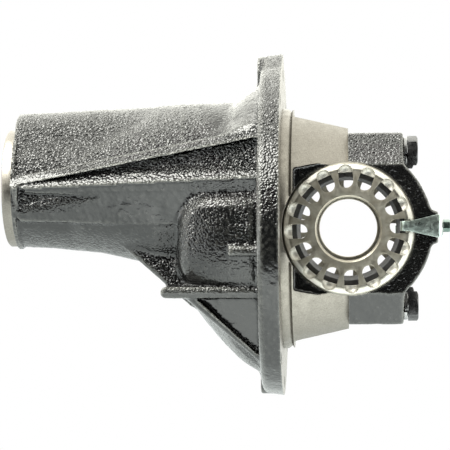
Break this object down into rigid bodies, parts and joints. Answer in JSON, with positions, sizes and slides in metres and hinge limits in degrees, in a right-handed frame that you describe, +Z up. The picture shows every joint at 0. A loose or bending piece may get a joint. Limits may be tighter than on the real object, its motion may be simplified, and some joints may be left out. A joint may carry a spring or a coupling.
{
  "type": "differential carrier assembly",
  "caption": "Cast differential carrier with a round bolt flange, long pinion nose, split bearing caps, slotted screw adjusters and their locks, bare of gears.",
  "frame": {"origin": "centre of the flange bolt circle on the gasket face", "axes": "+X along the pinion axis from the nose to the open gear end, +Y along the axle axis to the left, +Z up"},
  "size_m": [0.3319, 0.252, 0.2585],
  "materials": {
    "cast_black": "grainy sand-cast iron under semi-gloss black paint",
    "machined_iron": "turned and milled bare iron",
    "adjuster_steel": "turned steel with bright bevel",
    "zinc_plate": "clear zinc plate",
    "dark_steel": "black oxide",
    "washer_steel": "plain spring steel",
    "bearing_steel": "ground bearing steel"
  },
  "bodies": {
    "housing": {"carrier_housing": "cast_black", "front_pinion_bearing_cup": "bearing_steel", "rear_pinion_bearing_cup": "bearing_steel"},
    "right_cap": {"right_bearing_cap": "cast_black", "right_upper_cap_bolt": "dark_steel", "right_lower_cap_bolt": "dark_steel", "right_upper_spring_washer": "washer_steel", "right_lower_spring_washer": "washer_steel", "right_lock_bolt": "dark_steel", "right_lock_washer": "washer_steel", "right_carrier_bearing_cup": "bearing_steel"},
    "right_adjuster_ring": {"right_adjuster": "adjuster_steel"},
    "right_lock": {"right_adjuster_lock": "zinc_plate"},
    "left_cap": {"left_bearing_cap": "cast_black", "left_upper_cap_bolt": "dark_steel", "left_lower_cap_bolt": "dark_steel", "left_upper_spring_washer": "washer_steel", "left_lower_spring_washer": "washer_steel", "left_lock_bolt": "dark_steel", "left_lock_washer": "washer_steel", "left_carrier_bearing_cup": "bearing_steel"},
    "left_adjuster_ring": {"left_adjuster": "adjuster_steel"},
    "left_lock": {"left_adjuster_lock": "zinc_plate"}
  },
  "joints": [
    {"name": "right_cap_lift", "type": "slide", "parent": "housing", "child": "right_cap", "axis": [1, 0, 0], "range_m": [0, 0.06]},
    {"name": "right_adjuster_turn", "type": "hinge", "parent": "right_cap", "child": "right_adjuster_ring", "pos_m": [0.049, -0.065, 0], "axis": [0, 1, 0], "range_deg": [-2, 2]},
    {"name": "right_lock_draw", "type": "slide", "parent": "right_cap", "child": "right_lock", "axis": [0, -1, 0], "range_m": [0, 0.025]},
    {"name": "left_cap_lift", "type": "slide", "parent": "housing", "child": "left_cap", "axis": [1, 0, 0], "range_m": [0, 0.06]},
    {"name": "left_adjuster_turn", "type": "hinge", "parent": "left_cap", "child": "left_adjuster_ring", "pos_m": [0.049, 0.065, 0], "axis": [0, 1, 0], "range_deg": [-2, 2]},
    {"name": "left_lock_draw", "type": "slide", "parent": "left_cap", "child": "left_lock", "axis": [0, 1, 0], "range_m": [0, 0.025]}
  ]
}
